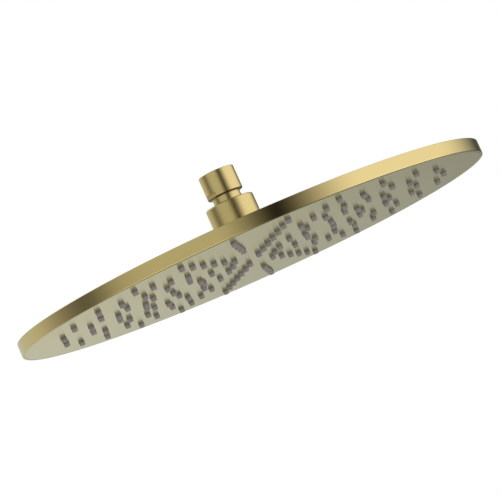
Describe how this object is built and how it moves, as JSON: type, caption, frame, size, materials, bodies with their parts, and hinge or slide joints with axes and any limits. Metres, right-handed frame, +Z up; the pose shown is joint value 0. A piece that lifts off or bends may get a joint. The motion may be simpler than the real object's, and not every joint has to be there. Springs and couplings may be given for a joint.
{
  "type": "rain shower head",
  "caption": "Slim round rain shower head in brushed gold with grey silicone nozzles, hung from a ball joint that leans and spins below a threaded inlet nut.",
  "frame": {"origin": "on the inlet axis, where the inlet thread begins, 0.8 mm inside the nut's rim", "axes": "+Z up along the inlet axis, out of the inlet; the spray face looks down, and +X runs along one arm of nozzles"},
  "size_m": [0.3, 0.3, 0.0594],
  "materials": {
    "brushed_gold_brass": "turned brass, brushed round, coated pale gold",
    "brushed_gold_sheet": "stainless sheet, brushed, coated pale gold",
    "plain_brass": "bare turned brass",
    "plain_stainless": "bare stainless steel",
    "grey_silicone": "soft matt silicone, warm grey",
    "black_rubber": "matt black seal rubber",
    "white_acetal": "off-white moulded acetal"
  },
  "bodies": {
    "inlet": {"ball_connector": "brushed_gold_brass", "inlet_washer": "black_rubber", "filter_screen": "plain_stainless", "flow_regulator": "white_acetal", "regulator_ring": "black_rubber"},
    "cup": {"seal_cup": "black_rubber"},
    "ring": {"friction_ring": "white_acetal"},
    "head": {"swivel_collar": "brushed_gold_brass", "inlet_boss": "plain_brass", "hub_gasket": "black_rubber", "back_shell": "brushed_gold_sheet", "stay_posts": "plain_stainless", "spray_nozzles": "grey_silicone", "face_plate": "brushed_gold_sheet"}
  },
  "joints": [
    {"name": "lean_x", "type": "hinge", "parent": "inlet", "child": "cup", "pos_m": [0, 0, -0.0271], "axis": [1, 0, 0], "range_deg": [-12, 12]},
    {"name": "lean_y", "type": "hinge", "parent": "cup", "child": "ring", "pos_m": [0, 0, -0.0271], "axis": [0, 1, 0], "range_deg": [-12, 12]},
    {"name": "head_spin", "type": "hinge", "parent": "ring", "child": "head", "pos_m": [0, 0, -0.0271], "axis": [0, 0, 1], "continuous": true}
  ]
}
